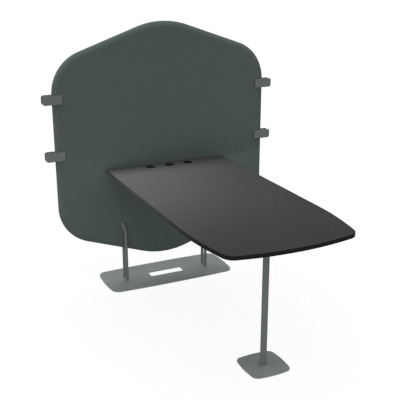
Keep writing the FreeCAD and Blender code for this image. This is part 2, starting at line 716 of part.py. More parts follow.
# Upholstered screen: a stiff core between two padded halves whose edges are rounded over
def screen(holes):
    core_corners = hexagon("screen_width / 2 - core_inset", "screen_side_low_z + core_side_shift",
                           "screen_side_high_z - core_side_shift", "core_rise")
    core_blank, _ = six_sided("screen_core_blank", "core_half", "core_thickness", core_corners,
                              "core_corner_radius", "core_apex_radius")
    nodes.append(cut("screen_core", core_blank, holes))
    corners = hexagon("screen_width / 2", "screen_side_low_z", "screen_side_high_z", "screen_rise")
    for word, y, outer_face in (("front", "0", "screen_half"), ("rear", "screen_half", "0")):
        name = f"screen_pad_{word}"
        body, shaped = six_sided(name + "_blank", y, "screen_half", corners,
                                 "screen_corner_radius", "screen_apex_radius")
        round_edges(body, shaped, "screen_edge_radius", lies_at(size(outer_face)))
        nodes.append(cut(name, body, [core_blank] + holes))


# Work surface: a board with its edge band
def desk_outline(inset):
    """Corners and arc radii of the work surface, drawn in all round by an inset."""
    half = f"(desk_width / 2 - {inset})"
    front_half = f"({half} - desk_front_draw)"
    back = f"(desk_back_y - {inset})"
    turn = "(desk_back_y - desk_straight_length)"
    front_corner = f"(desk_front_y + desk_front_bow + {inset})"
    run = f"({turn} - {front_corner})"
    side = arc_radius(run, "desk_front_draw")
    front = arc_radius(front_half, "desk_front_bow")
    corners = [(f"-{half}", back), (f"-{half}", turn), (f"-{front_half}", front_corner),
               (front_half, front_corner), (half, turn), (half, back)]
    return corners, [None, side, front, side, None, None]


def desk(screw_holes):
    corners, radii = desk_outline("0")
    outer = plate("desk_outer_blank", "desk_under_z", "desk_thickness", corners, radii, "desk_corner_radius",
                  corners[2:4], "desk_arris_radius", ["desk_thickness", "0"])
    corners, radii = desk_outline("edge_band_thickness")
    board = plate("desk_board_blank", "desk_under_z", "desk_thickness", corners, radii,
                  "desk_corner_radius - edge_band_thickness", corners[2:4])
    tools = list(screw_holes)
    for k in (-1, 0, 1):
        x = f"{k} * grommet_pitch"
        tools.append(rod("grommet_hole", x, "grommet_y", "desk_under_z - cut_overrun",
                         "grommet_sleeve_radius", "desk_thickness + 2 * cut_overrun"))
        tools.append(rod("grommet_rebate", x, "grommet_y", "desk_top_z - grommet_flange_thickness",
                         "grommet_flange_radius", "grommet_flange_thickness + cut_overrun"))
    nodes.append(cut("desk_board", board, tools))
    nodes.append(cut("desk_edge_band", outer, [board]))


# Cable grommets: a flush flanged sleeve and a turning cap with a notch for the cables
GROMMETS = {"left": "-1", "middle": "0", "right": "1"}


def grommets():
    for word, way in GROMMETS.items():
        x = f"{way} * grommet_pitch"
        flange = rod("grommet_flange", x, "grommet_y", "desk_top_z - grommet_flange_thickness",
                     "grommet_flange_radius", "grommet_flange_thickness")
        length = "(desk_thickness + grommet_sleeve_drop)"
        sleeve = rod("grommet_tube", x, "grommet_y", f"desk_top_z - {length}",
                     "grommet_sleeve_radius", length)
        blank = gather("Part::MultiFuse", f"grommet_sleeve_{word}_blank", [flange, sleeve])
        bore = rod("grommet_bore", x, "grommet_y", f"desk_top_z - {length} - cut_overrun",
                   "grommet_bore_radius", f"{length} + 2 * cut_overrun")
        seat = rod("cap_seat", x, "grommet_y", "desk_top_z - cap_seat_depth", "cap_seat_radius",
                   "cap_seat_depth + cut_overrun")
        nodes.append(cut(f"grommet_sleeve_{word}", blank, [bore, seat]))
        disc = rod("cap_disc", x, "grommet_y", "desk_top_z - cap_thickness", "cap_radius", "cap_thickness")
        notch = block("cable_notch", f"{x} - cable_notch_width / 2",
                      "grommet_y + cap_radius - cable_notch_depth",
                      "desk_top_z - cap_thickness - cut_overrun", "cable_notch_width",
                      "cable_notch_depth + cut_overrun", "cap_thickness + 2 * cut_overrun")
        nodes.append(cut(f"grommet_cap_{word}", disc, [notch]))


# Post: a tube between a screwed flange and a bowed foot plate
def post():
    nodes.append(cut("desk_post", rod("post_round", 0, "post_y", "foot_top_z", "post_radius",
                                      "flange_under_z - foot_top_z"),
                     [rod("post_hollow", 0, "post_y", "foot_top_z - cut_overrun", "post_bore",
                          "flange_under_z - foot_top_z + 2 * cut_overrun")]))
    corners = [(f"{i} * flange_screw_spread", f"post_y + {j} * flange_screw_spread")
               for i in (-1, 1) for j in (-1, 1)]
    square = [(f"{i} * flange_size / 2", f"post_y + {j} * flange_size / 2")
              for i, j in ((-1, -1), (1, -1), (1, 1), (-1, 1))]
    flange = plate("post_flange_blank", "flange_under_z", "flange_thickness", square, None,
                   "flange_corner_radius")
    holes = [rod("flange_hole", x, y, "flange_under_z - cut_overrun", "wood_screw_radius",
                 "flange_thickness + 2 * cut_overrun") for x, y in corners]
    nodes.append(cut("post_flange", flange, holes))
    return wood_screws("flange_screws", corners, "flange_under_z")


def foot():
    corners, radii = bowed_rectangle("foot_size", "foot_size", "foot_bow", "foot_bow", "post_y")
    flat = plate("foot_plate_blank", "plate_z", "foot_thickness", corners, radii, "foot_corner_radius",
                 arris="plate_arris_radius", arris_levels=["foot_thickness"])
    hole = rod("foot_bolt_hole", 0, "post_y", "plate_z", "foot_bolt_radius", "foot_thickness + cut_overrun")
    sink = rod("foot_bolt_sink", 0, "post_y", "plate_z - cut_overrun", "foot_bolt_head_radius",
               "cut_overrun + foot_bolt_head_height")
    nodes.append(cut("foot_plate", flat, [hole, sink]))
    head = rod("foot_bolt_head", 0, "post_y", "plate_z", "foot_bolt_head_radius", "foot_bolt_head_height")
    shank = rod("foot_bolt_shank", 0, "post_y", "plate_z", "foot_bolt_radius",
                "foot_thickness + foot_bolt_reach")
    blank = gather("Part::MultiFuse", "foot_bolt_blank", [head, shank])
    drive = socket(0, "post_y", "plate_z - cut_overrun", "foot_bolt_head_radius", "foot_bolt_head_height")
    nodes.append(cut("foot_bolt", blank, [drive]))
    plug = rod("post_plug_round", 0, "post_y", "foot_top_z", "post_bore", "post_plug_length")
    thread = rod("post_plug_thread", 0, "post_y", "foot_top_z - cut_overrun", "foot_bolt_radius",
                 "cut_overrun + foot_bolt_reach")
    nodes.append(cut("post_plug", plug, [thread]))
    pads = [rod("foot_pad", f"{i} * foot_pad_spread", f"post_y + {j} * foot_pad_spread", "0",
                "floor_pad_radius", "floor_pad_thickness") for i in (-1, 1) for j in (-1, 1)]
    nodes.append(gather("Part::Compound", "foot_floor_pads", pads))


def check_and_write():
    """Stop on any failed object or unsound shape, and only then write the sub-parts."""
    doc.recompute()
    for thing in doc.Objects:
        if "Invalid" in thing.State or "Error" in thing.State:
            raise RuntimeError(f"{thing.Label} failed: {thing.State}")
    for node in nodes:
        if node.Shape.isNull() or not node.Shape.isValid() or not node.Shape.Solids:
            raise RuntimeError(f"{node.Label} is not a sound solid")
    os.makedirs("parts", exist_ok=True)
    for node in nodes:
        node.Shape.exportStep(os.path.join("parts", node.Label + ".step"))
        print(f"{node.Label}: {len(node.Shape.Solids)} solids, {node.Shape.Volume:.0f} mm3")


base()
leg_tubes()
tube_caps()
screen_holes = clamps() + screen_bolts() + clip_screws()
screen(screen_holes)
brackets()
desk(wood_screws("bracket_desk_screws", SCREW_PLACES, "bracket_under_z") + post())
grommets()
foot()
link_clips()
check_and_write()
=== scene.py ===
"""Finish for a desk with a privacy screen: fabric covers, painted steel, laminate and studio."""
import math

import bmesh
import bpy
from bpy.props import FloatProperty, FloatVectorProperty, IntProperty, PointerProperty
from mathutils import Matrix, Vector


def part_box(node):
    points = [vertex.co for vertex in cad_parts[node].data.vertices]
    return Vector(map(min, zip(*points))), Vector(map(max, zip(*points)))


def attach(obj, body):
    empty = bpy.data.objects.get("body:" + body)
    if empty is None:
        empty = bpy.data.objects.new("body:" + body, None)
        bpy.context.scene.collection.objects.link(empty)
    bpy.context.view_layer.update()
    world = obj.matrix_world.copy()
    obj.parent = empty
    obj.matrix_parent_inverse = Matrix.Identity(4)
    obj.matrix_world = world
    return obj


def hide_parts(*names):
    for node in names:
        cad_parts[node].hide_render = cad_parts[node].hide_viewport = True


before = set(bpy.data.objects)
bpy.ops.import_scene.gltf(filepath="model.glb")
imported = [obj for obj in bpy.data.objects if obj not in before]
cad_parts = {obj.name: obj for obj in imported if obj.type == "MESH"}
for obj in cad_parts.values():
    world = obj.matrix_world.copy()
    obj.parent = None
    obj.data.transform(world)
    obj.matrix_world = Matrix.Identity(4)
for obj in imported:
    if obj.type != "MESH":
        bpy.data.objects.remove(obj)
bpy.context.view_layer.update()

bl_info = {
    "name": "Desk with privacy screen",
    "version": (1, 0, 0),
    "blender": (4, 5, 0),
    "location": "View3D > Sidebar > Desk",
    "description": "Covers, finishes and studio for a desk that hangs from a privacy screen",
    "category": "Object",
}

BODY = "desk"

# Places read from the frame, in metres
PAD_LOW, PAD_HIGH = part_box("screen_pad_front")
REAR_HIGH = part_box("screen_pad_rear")[1]
CORE_LOW, CORE_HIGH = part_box("screen_core")
POST_LOW, POST_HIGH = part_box("desk_post")
SCREEN_Y = (CORE_LOW.y + CORE_HIGH.y) / 2

LINKS = [f"link_clip_{side}_{level}" for side in ("left", "right") for level in ("upper", "lower")]
TUBES = [f"leg_tube_{row}_{side}" for row in ("front", "rear") for side in ("left", "right")]
GROMMET_WORDS = ("left", "middle", "right")
GROMMETS = [f"grommet_{piece}_{word}" for piece in ("sleeve", "cap") for word in GROMMET_WORDS]
COVERS = ["screen_cover_front", "screen_cover_rear"]
SURFACE = ["desk_board", "desk_edge_band", *GROMMETS]


def length(name, description, default):
    """A length that a user may change, in metres."""
    return FloatProperty(name=name, description=description, default=default, unit="LENGTH", precision=4)


def bearing(name, description, degrees):
    """An angle that a user may change."""
    return FloatProperty(name=name, description=description, default=math.radians(degrees),
                         subtype="ANGLE")


def brightness(name, description, default, unit="NONE"):
    """A strength or power of light that a user may change."""
    return FloatProperty(name=name, description=description, default=default, min=0.0, unit=unit)


def coordinates(name, description, default, subtype="TRANSLATION"):
    """A place or a direction that a user may change."""
    return FloatVectorProperty(name=name, description=description, default=default, subtype=subtype, size=3)


def colour(name, description, default):
    """A linear colour that a user may change."""
    return FloatVectorProperty(name=name, description=description, default=default, subtype="COLOR",
                               size=3, min=0.0, max=1.0)


def share(name, description, default):
    """A share from 0 to 1 that a user may change."""
    return FloatProperty(name=name, description=description, default=default, min=0.0, max=1.0,
                         subtype="FACTOR")


class ScreenLook(bpy.types.PropertyGroup):
    """Sizes and colours of the upholstered screen."""
    fabric: colour("Fabric", "Main colour of the yarn", (0.0657, 0.0838, 0.0743))
    fabric_dark: colour("Dark yarn", "Colour of the darker flecks in the yarn", (0.0557, 0.0724, 0.0637))
    fabric_light: colour("Light yarn", "Colour of the lighter flecks in the yarn", (0.0763, 0.0967, 0.0859))
    core: colour("Core", "Colour of the board inside", (0.42, 0.31, 0.2))
    rise: length("Peak", "Height of the peak above the side corners", 0.2355)
    side_radius: length("Side corners", "Radius of the four side corners", 0.248)
    peak_radius: length("Peaks", "Radius of the top and bottom corners", 0.478)
    edge_inset: length("Rounded edge", "How far the rounded edge reaches over the face", 0.030)
    edge_fullness: FloatProperty(name="Edge fullness", description="1 is a flat bevel, 2 is a full round",
                                 default=1.6, min=1.0, max=2.0)
    crown: length("Crown", "How far the face swells from its rim to its middle", 0.0008)
    seam_depth: length("Seam", "How far the covers draw in where they are sewn together", 0.002)
    seam_width: length("Seam width", "How far from the seam the draw-in fades", 0.0012)
    core_inset: length("Core rim", "How far inside the outline the core ends", 0.026)
    thread: length("Thread", "Pitch of the weave", 0.0018)
    spacing: length("Mesh spacing", "Distance between points along the outline", 0.012)


class PaintLook(bpy.types.PropertyGroup):
    """Finish of the painted steel and of the fasteners."""
    # Painted light: the plates share one powder coat with the tubes, post, brackets and clips; the plates'
    # copy is painted lighter, standing in for the top light that the flat plates catch.
    paint: colour("Paint", "Powder coat of tubes, post, brackets and clips", (0.104, 0.1225, 0.1185))
    plate: colour("Plates", "Powder coat of the base and foot plates", (0.173, 0.199, 0.196))
    lid: colour("Lids", "Plastic lids in the tubes' ends", (0.2, 0.222, 0.216))
    steel: colour("Steel", "Plated screws and bolts", (0.52, 0.52, 0.5))
    felt: colour("Floor pads", "Felt under the plates", (0.03, 0.03, 0.032))
    weld_radius: length("Weld", "Radius of the weld bead around the post's top", 0.0032)
    weld_ripples: IntProperty(name="Weld ripples", description="Ripples around the bead", default=44, min=8)


class DeskLook(bpy.types.PropertyGroup):
    """Finish of the work surface and its grommets."""
    laminate: colour("Laminate", "Colour of the work surface", (0.0333, 0.0347, 0.034))
    banding: colour("Edge band", "Colour of the edge band", (0.011, 0.0112, 0.0114))
    grommet: colour("Grommets", "Moulded plastic of the cable grommets", (0.0045, 0.0045, 0.0047))


class StudioLook(bpy.types.PropertyGroup):
    """Camera and light."""
    camera_x: length("Camera X", "Camera's place along the screen", -1.6966)
    camera_y: length("Camera Y", "Camera's place from the screen's middle plane", -4.10885)
    camera_z: length("Camera Z", "Camera's height", 1.984)
    yaw: bearing("Yaw", "Camera's turn to the right", 25.274)
    pitch: bearing("Pitch", "Camera's tilt down", 18.61)
    lens: FloatProperty(name="Lens", description="Focal length in millimetres", default=67.786,
                        unit="CAMERA")
    sky_low: brightness("Horizon", "Strength of the light from the horizon", 0.5)
    sky_high: brightness("Zenith", "Strength of the light from straight above", 1.75)
    fill_power: brightness("Front fill", "Power of the softbox in front", 4.2, "POWER")
    fill_size: length("Fill size", "Width of the softbox in front", 1.0)
    fill_spread: bearing("Fill spread", "How widely the softbox in front shines", 36)
    fill_place: coordinates("Fill place", "Where the softbox in front stands", (-2.6, -3.8, 0.2))
    lamp_power: brightness("Desk lamp", "Power of the lamp over the work surface", 835.0, "POWER")
    lamp_cone: bearing("Lamp cone", "Width of the desk lamp's soft cone", 73)
    lamp_radius: length("Lamp radius", "Radius of the soft lamp over the work surface", 0.25)
    lamp_tilt: bearing("Lamp tilt", "How far the desk lamp tilts towards the front", 2.6)
    lamp_place: coordinates("Lamp place", "Where the desk lamp hangs", (-0.78, 0.89, 3.14))
    side_power: brightness("Side lamp", "Power of the lamp beside the work surface", 60.0, "POWER")
    side_cone: bearing("Side cone", "Width of the side lamp's cone", 116)
    side_radius: length("Side radius", "Radius of the soft lamp beside the work surface", 0.15)
    side_place: coordinates("Side place", "Where the side lamp stands", (-1.0, 0.3, 0.78))
    edge_strength: brightness("Edge light", "Strength of the light on the screen's edge", 3.4)
    edge_spread: bearing("Edge spread", "How wide the edge light looks from the screen", 20)
    edge_way: coordinates("Edge way", "Direction from the screen to the edge light",
                          (-0.35, -0.05, 0.935), "DIRECTION")
    floor_size: length("Floor", "Width of the floor", 240.0)
    floor_bounce: share("Floor bounce", "Share of light that the floor throws back at the object", 0.5)
    floor_glow: share("Floor glow", "Share of plain white in the floor as the camera sees it", 0.9)


SETTINGS = {
    "desk_screen": ScreenLook,
    "desk_paint": PaintLook,
    "desk_surface": DeskLook,
    "desk_studio": StudioLook,
}


def look(name):
    """One of the groups of settings of this scene."""
    return getattr(bpy.context.scene, name)


# Materials
class Shade:
    """A material with its principled shader, and short ways to add and join nodes."""

    def __init__(self, name, roughness, specular=0.5, metallic=0.0):
        self.material = bpy.data.materials.new(name)
        self.material.use_nodes = True
        self.tree = self.material.node_tree
        self.shader = next(n for n in self.tree.nodes if n.type == "BSDF_PRINCIPLED")
        self.shader.inputs["Roughness"].default_value = roughness
        self.shader.inputs["Specular IOR Level"].default_value = specular
        self.shader.inputs["Metallic"].default_value = metallic
        self.place = self.node("ShaderNodeTexCoord").outputs["Object"]

    def node(self, kind, inputs=None, **values):
        """A new node with its values set and its inputs joined or set."""
        made = self.tree.nodes.new(kind)
        for key, value in values.items():
            setattr(made, key, value)
        for key, value in (inputs or {}).items():
            if isinstance(value, bpy.types.NodeSocket):
                self.tree.links.new(value, made.inputs[key])
            else:
                made.inputs[key].default_value = value
        return made

    def join(self, output, name):
        """Feed one of the shader's inputs."""
        self.tree.links.new(output, self.shader.inputs[name])

    def math(self, operation, first, second=0.0):
        """One sum on two values."""
        return self.node("ShaderNodeMath", {0: first, 1: second}, operation=operation).outputs[0]

    def noise(self, scale, detail=3.0, vector=None):
        """Soft noise; scale counts features in a metre."""
        inputs = {"Vector": vector or self.place, "Scale": scale, "Detail": detail}
        return self.node("ShaderNodeTexNoise", inputs).outputs["Fac"]

    def wave(self, place, pitch):
        """A row of round threads, from 0 between them to 1 on their backs."""
        turn = self.math("MULTIPLY", place, math.pi / pitch)
        return self.math("ABSOLUTE", self.math("SINE", turn))

    def ramp(self, factor, *stops):
        """A colour ramp through (position, colour) stops."""
        made = self.node("ShaderNodeValToRGB", {"Fac": factor})
        elements = made.color_ramp.elements
        for index, (position, tone) in enumerate(stops):
            element = elements[index] if index < 2 else elements.new(position)
            element.position = position
            element.color = (*tone, 1.0)
        return made.outputs["Color"]

    def stain(self, factor, tone, dark, light):
        """Give the surface one colour that drifts between a darker and a lighter tint."""
        self.join(self.ramp(factor, (0.3, tint(tone, dark)), (0.7, tint(tone, light))), "Base Color")

    def gloss(self, factor, low, high):
        """Let the roughness drift over a range."""
        self.join(self.span(factor, low, high), "Roughness")

    def span(self, factor, low, high):
        """Spread a 0 to 1 value over a range."""
        return self.node("ShaderNodeMapRange", {"Value": factor, "To Min": low, "To Max": high}).outputs[0]

    def bump(self, height, strength, distance):
        """A raised surface detail of a given depth in metres."""
        made = self.node("ShaderNodeBump", {"Height": height, "Strength": strength, "Distance": distance})
        self.join(made.outputs["Normal"], "Normal")


def tint(tone, factor):
    """A colour made lighter or darker by a factor."""
    return tuple(min(1.0, channel * factor) for channel in tone)


def woven_fabric():
    """Plain weave in a melange yarn, with a soft bloom."""
    screen = look("desk_screen")
    shade = Shade("woven_fabric", roughness=0.92, specular=0.05)
    shade.shader.inputs["Sheen Weight"].default_value = 0.02
    shade.shader.inputs["Sheen Roughness"].default_value = 0.5
    axes = shade.node("ShaderNodeSeparateXYZ", {"Vector": shade.place}).outputs
    across = shade.math("ADD", axes["X"], axes["Y"])
    upward = shade.math("ADD", axes["Z"], axes["Y"])
    warp = shade.wave(across, screen.thread)
    weft = shade.wave(upward, screen.thread)
    grid = shade.node("ShaderNodeCombineXYZ", {"X": across, "Y": upward}).outputs[0]
    over = shade.node("ShaderNodeTexChecker", {"Vector": grid, "Scale": 1 / screen.thread}).outputs["Fac"]
    weave = shade.node("ShaderNodeMix", {"Factor": over, "A": warp, "B": weft}).outputs["Result"]
    drawn = shade.node("ShaderNodeMapping", {"Vector": grid, "Scale": (1.0, 0.35, 1.0)}).outputs[0]
    fleck = shade.noise(scale=420.0, detail=4.0, vector=drawn)
    yarn = shade.ramp(fleck, (0.3, screen.fabric_dark), (0.7, screen.fabric_light), (0.5, screen.fabric))
    patch = shade.span(shade.noise(scale=3.2, detail=2.0), low=0.965, high=1.035)
    # Painted shade: the yarn colour is darkened in the hollows between the threads and lifted a little on
    # their backs.
    depth = shade.span(weave, low=0.86, high=1.05)
    tone = shade.math("MULTIPLY", patch, depth)
    cloth_with_painted_weave_shade = shade.node("ShaderNodeVectorMath", {0: yarn, "Scale": tone}, operation="SCALE").outputs[0]
    shade.join(cloth_with_painted_weave_shade, "Base Color")
    shade.bump(weave, strength=0.45, distance=screen.thread / 4)
    return shade.material


def powder_coat(name, tone):
    """Fine orange peel, with faint handling marks in the gloss."""
    shade = Shade(name, roughness=0.55, specular=0.2)
    shade.stain(shade.noise(scale=9.0), tone, dark=0.95, light=1.05)
    shade.gloss(shade.noise(scale=24.0, detail=5.0), low=0.48, high=0.62)
    shade.bump(shade.noise(scale=1300.0, detail=2.0), strength=0.25, distance=0.0002)
    return shade.material


def satin_laminate():
    """Black laminate with a fine pebble texture and faint smudges."""
    tone = look("desk_surface").laminate
    shade = Shade("satin_laminate", roughness=0.5, specular=0.01)
    speck = shade.noise(scale=700.0, detail=2.0)
    shade.join(shade.ramp(speck, (0.35, tint(tone, 0.92)), (0.65, tint(tone, 1.08))), "Base Color")
    shade.gloss(shade.noise(scale=6.0, detail=6.0), low=0.46, high=0.56)
    shade.bump(shade.noise(scale=1600.0, detail=2.0), strength=0.18, distance=0.00015)
    return shade.material


def moulded_plastic(name, tone, roughness, grain, specular=0.3):
    """Moulded plastic with a spark-eroded grain; grain counts features in a metre."""
    shade = Shade(name, roughness, specular=specular)
    shade.stain(shade.noise(scale=30.0), tone, dark=0.9, light=1.1)
    shade.gloss(shade.noise(scale=90.0, detail=4.0), low=roughness - 0.05, high=roughness + 0.05)
    shade.bump(shade.noise(grain, detail=1.0), strength=0.3, distance=0.0001)
    return shade.material


def plated_steel():
    """Zinc-plated steel with fine turning lines."""
    tone = look("desk_paint").steel
    shade = Shade("plated_steel", roughness=0.38, metallic=1.0)
    shade.stain(shade.noise(scale=160.0), tone, dark=0.88, light=1.0)
    shade.gloss(shade.noise(scale=600.0, detail=2.0), low=0.3, high=0.46)
    shade.bump(shade.noise(scale=2400.0, detail=1.0), strength=0.15, distance=0.00005)
    return shade.material


def pressed_felt():
    """Short matted fibres."""
    tone = look("desk_paint").felt
    shade = Shade("pressed_felt", roughness=0.95, specular=0.1)
    fibre = shade.noise(scale=1500.0, detail=5.0)
    shade.stain(fibre, tone, dark=0.7, light=1.4)
    shade.bump(fibre, strength=0.6, distance=0.0004)
    return shade.material


def pressed_board():
    """Chips of wood pressed into a board."""
    tone = look("desk_screen").core
    shade = Shade("pressed_board", roughness=0.8, specular=0.2)
    chip = shade.node("ShaderNodeTexVoronoi", {"Vector": shade.place, "Scale": 160.0}).outputs["Color"]
    shade.join(shade.ramp(chip, (0.1, tint(tone, 0.7)), (0.9, tint(tone, 1.25))), "Base Color")
    shade.bump(shade.noise(scale=400.0), strength=0.3, distance=0.0003)
    return shade.material


def finish_nodes(material, *names):
    """Give packed nodes their finish."""
    for name in names:
        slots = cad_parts[name].data.materials
        slots.clear()
        slots.append(material)


# Screen covers
EDGE_STEPS = 16
INSIDE_SHRINKS = (0.3, 0.65, 1.0)
FACE_SHRINKS = (0.975, 0.94, 0.89, 0.82, 0.73, 0.62, 0.5, 0.37, 0.24, 0.12)


def arc_corner(before, corner, after, radius, spacing):
    """Points and outward normals of the arc that rounds one corner of a counter-clockwise outline."""
    arrive, leave = (corner - before).normalized(), (after - corner).normalized()
    turn = arrive.angle(leave)
    start = corner - arrive * radius * math.tan(turn / 2)
    outward = Vector((arrive.y, -arrive.x))
    centre = start - outward * radius
    count = max(4, round(radius * turn / spacing))
    rays = []
    for step in range(count + 1):
        angle = turn * step / count
        ray = Vector((outward.x * math.cos(angle) - outward.y * math.sin(angle),
                      outward.x * math.sin(angle) + outward.y * math.cos(angle)))
        rays.append((centre + ray * radius, ray))
    return rays


def screen_outline():
    """Points and outward normals round the screen, in its own plane (x, z)."""
    screen = look("desk_screen")
    half = PAD_HIGH.x
    overshoot = screen.peak_radius * (math.hypot(1.0, screen.rise / half) - 1)
    top, bottom = PAD_HIGH.z + overshoot, PAD_LOW.z - overshoot
    corners = [Vector(p) for p in ((0, bottom), (half, bottom + screen.rise), (half, top - screen.rise),
                                   (0, top), (-half, top - screen.rise), (-half, bottom + screen.rise))]
    radii = [screen.peak_radius if corner.x == 0 else screen.side_radius for corner in corners]
    arcs = [arc_corner(corners[i - 1], corners[i], corners[(i + 1) % 6], radii[i], screen.spacing)
            for i in range(6)]
    outline = []
    for index, arc in enumerate(arcs):
        outline += arc
        (last, normal), (following, _) = arc[-1], arcs[(index + 1) % 6][0]
        count = max(2, round((following - last).length / screen.spacing))
        outline += [(last.lerp(following, step / count), normal) for step in range(1, count)]
    return outline


def cover_rings(half_depth, core_half):
    """Rings of a cover from the middle of its inside, over the seam, to the middle of its face.

    Each ring is (inset from the outline, shrink towards the middle, depth from the seam).
    """
    screen = look("desk_screen")
    rim = half_depth - screen.crown
    rings = [(screen.core_inset, shrink, core_half) for shrink in INSIDE_SHRINKS]
    rings.append((screen.core_inset, 1.0, 0.0))
    power = 2 / screen.edge_fullness
    for step in range(EDGE_STEPS + 1):
        angle = math.pi / 2 * step / EDGE_STEPS
        depth = rim * math.sin(angle) ** power
        groove = screen.seam_depth * math.exp(-(depth / screen.seam_width) ** 2)
        roundover = screen.edge_inset * (1 - max(0.0, math.cos(angle)) ** power)
        rings.append((roundover + groove, 1.0, depth))
    for shrink in FACE_SHRINKS:
        rings.append((screen.edge_inset, shrink, rim + screen.crown * (1 - shrink ** 4)))
    return rings


def cover(name, node, way, half_depth, core_half):
    """One padded cover: a closed shell with a recess for the core, a drawn-in seam and a rounded edge."""
    outline = screen_outline()
    middle = Vector((0, (PAD_LOW.z + PAD_HIGH.z) / 2))
    mesh = bmesh.new()
    rows = []
    rings = cover_rings(half_depth, core_half)
    for inset, shrink, depth in rings:
        row = []
        for point, normal in outline:
            spot = middle + (point - normal * inset - middle) * shrink
            row.append(mesh.verts.new((spot.x, SCREEN_Y + way * depth, spot.y)))
        rows.append(row)
    count = len(outline)
    for near, far in zip(rows, rows[1:]):
        for index in range(count):
            following = (index + 1) % count
            mesh.faces.new((near[index], near[following], far[following], far[index]))
    for row, depth in ((rows[0], rings[0][2]), (rows[-1], half_depth)):
        centre = mesh.verts.new((middle.x, SCREEN_Y + way * depth, middle.y))
        for index in range(count):
            mesh.faces.new((row[index], row[(index + 1) % count], centre))
    bmesh.ops.recalc_face_normals(mesh, faces=mesh.faces)
    piece = new_piece(name, mesh)
    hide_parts(node)
    return piece


def new_piece(name, mesh):
    """A smooth piece of the object from a finished bmesh, riding on the desk."""
    data = bpy.data.meshes.new(name)
    mesh.to_mesh(data)
    mesh.free()
    data.shade_smooth()
    piece = bpy.data.objects.new(name, data)
    bpy.context.scene.collection.objects.link(piece)
    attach(piece, BODY)
    return piece


class DESK_OT_screen(bpy.types.Operator):
    """Upholster the screen with a front and a rear cover over its core"""
    bl_idname = "desk.screen"
    bl_label = "Screen covers"

    def execute(self, context):
        fabric = woven_fabric()
        core_half = (CORE_HIGH.y - CORE_LOW.y) / 2
        front = cover(COVERS[0], "screen_pad_front", -1, SCREEN_Y - PAD_LOW.y, core_half)
        rear = cover(COVERS[1], "screen_pad_rear", 1, REAR_HIGH.y - SCREEN_Y, core_half)
        for piece in (front, rear):
            piece.data.materials.append(fabric)
        finish_nodes(pressed_board(), "screen_core")
        return {"FINISHED"}


class DESK_OT_work_surface(bpy.types.Operator):
    """Finish the work surface and its edge band"""
    bl_idname = "desk.work_surface"
    bl_label = "Work surface"

    def execute(self, context):
        finish_nodes(satin_laminate(), "desk_board")
        banding = look("desk_surface").banding
        band = moulded_plastic("edge_banding", banding, roughness=0.5, grain=1400.0, specular=0.01)
        finish_nodes(band, "desk_edge_band")
        return {"FINISHED"}


class DESK_OT_grommets(bpy.types.Operator):
    """Finish the cable grommets and their turning caps"""
    bl_idname = "desk.grommets"
    bl_label = "Cable grommets"

    def execute(self, context):
        black = look("desk_surface").grommet
        plastic = moulded_plastic("grommet_plastic", black, roughness=0.6, grain=1800.0, specular=0.04)
        finish_nodes(plastic, *GROMMETS)
        return {"FINISHED"}


POINTS_PER_RIPPLE = 4
BEAD_SIDES = 8
RIPPLE_SWELL = 0.1


def weld_bead(radius, bead, ripples):
    """A rippled bead round the top of the post, under its flange."""
    mesh = bmesh.new()
    around = ripples * POINTS_PER_RIPPLE
    rows = []
    for step in range(around):
        angle = math.tau * step / around
        swell = bead * (1 + RIPPLE_SWELL * math.cos(ripples * angle))
        row = []
        for corner in range(BEAD_SIDES):
            turn = math.tau * corner / BEAD_SIDES
            reach = radius + swell * math.cos(turn)
            drop = swell * math.sin(turn)
            row.append(mesh.verts.new((reach * math.cos(angle), reach * math.sin(angle), drop)))
        rows.append(row)
    for step in range(around):
        near, far = rows[step], rows[(step + 1) % around]
        for corner in range(BEAD_SIDES):
            following = (corner + 1) % BEAD_SIDES
            mesh.faces.new((near[corner], far[corner], far[following], near[following]))
    bmesh.ops.recalc_face_normals(mesh, faces=mesh.faces)
    post_y = (POST_LOW.y + POST_HIGH.y) / 2
    bmesh.ops.translate(mesh, verts=mesh.verts, vec=(0, post_y, POST_HIGH.z))
    return mesh


class DESK_OT_steelwork(bpy.types.Operator):
    """Paint the base, tubes, post, foot, brackets and clips, and add the post's weld"""
    bl_idname = "desk.steelwork"
    bl_label = "Painted steel"

    def execute(self, context):
        paint = look("desk_paint")
        coat = powder_coat("powder_coat", paint.paint)
        finish_nodes(coat, "desk_post", "post_flange", "desk_bracket_left", "desk_bracket_right",
                     "clamp_bolts", *TUBES, *LINKS)
        # Painted light: the plates get a lighter copy of the same powder coat, standing in for the top
        # light that they catch.
        finish_nodes(powder_coat("plate_coat_painted_top_light", paint.plate), "base_plate", "foot_plate")
        lids = moulded_plastic("lid_plastic", paint.lid, roughness=0.5, grain=1500.0)
        finish_nodes(lids, "leg_tube_caps")
        bead = new_piece("post_weld_bead", weld_bead(POST_HIGH.x, paint.weld_radius, paint.weld_ripples))
        bead.data.materials.append(coat)
        return {"FINISHED"}


class DESK_OT_fasteners(bpy.types.Operator):
    """Finish the screws, bolts, sleeves and floor pads"""
    bl_idname = "desk.fasteners"
    bl_label = "Fasteners and floor pads"

    def execute(self, context):
        finish_nodes(plated_steel(), "leg_bolts", "leg_tube_plugs", "clamp_sleeves", "bracket_bolts",
                     "screen_core_inserts", "bracket_spacers", "clip_screws", "bracket_desk_screws",
                     "flange_screws", "foot_bolt", "post_plug")
        finish_nodes(pressed_felt(), "base_floor_pads", "foot_floor_pads")
        return {"FINISHED"}


# Studio
FLOOR_WHITE = 0.9
LAMP_SOFTNESS = 1.0
SIDE_SOFTNESS = 0.5


def seen_directly(tree):
    """1 for rays from the camera, from gloss and through glass, 0 for the light that the object gets."""
    path = tree.nodes.new("ShaderNodeLightPath").outputs
    total = path["Is Camera Ray"]
    for name in ("Is Glossy Ray", "Is Transmission Ray"):
        add = tree.nodes.new("ShaderNodeMath")
        add.operation = "MAXIMUM"
        tree.links.new(total, add.inputs[0])
        tree.links.new(path[name], add.inputs[1])
        total = add.outputs[0]
    return total


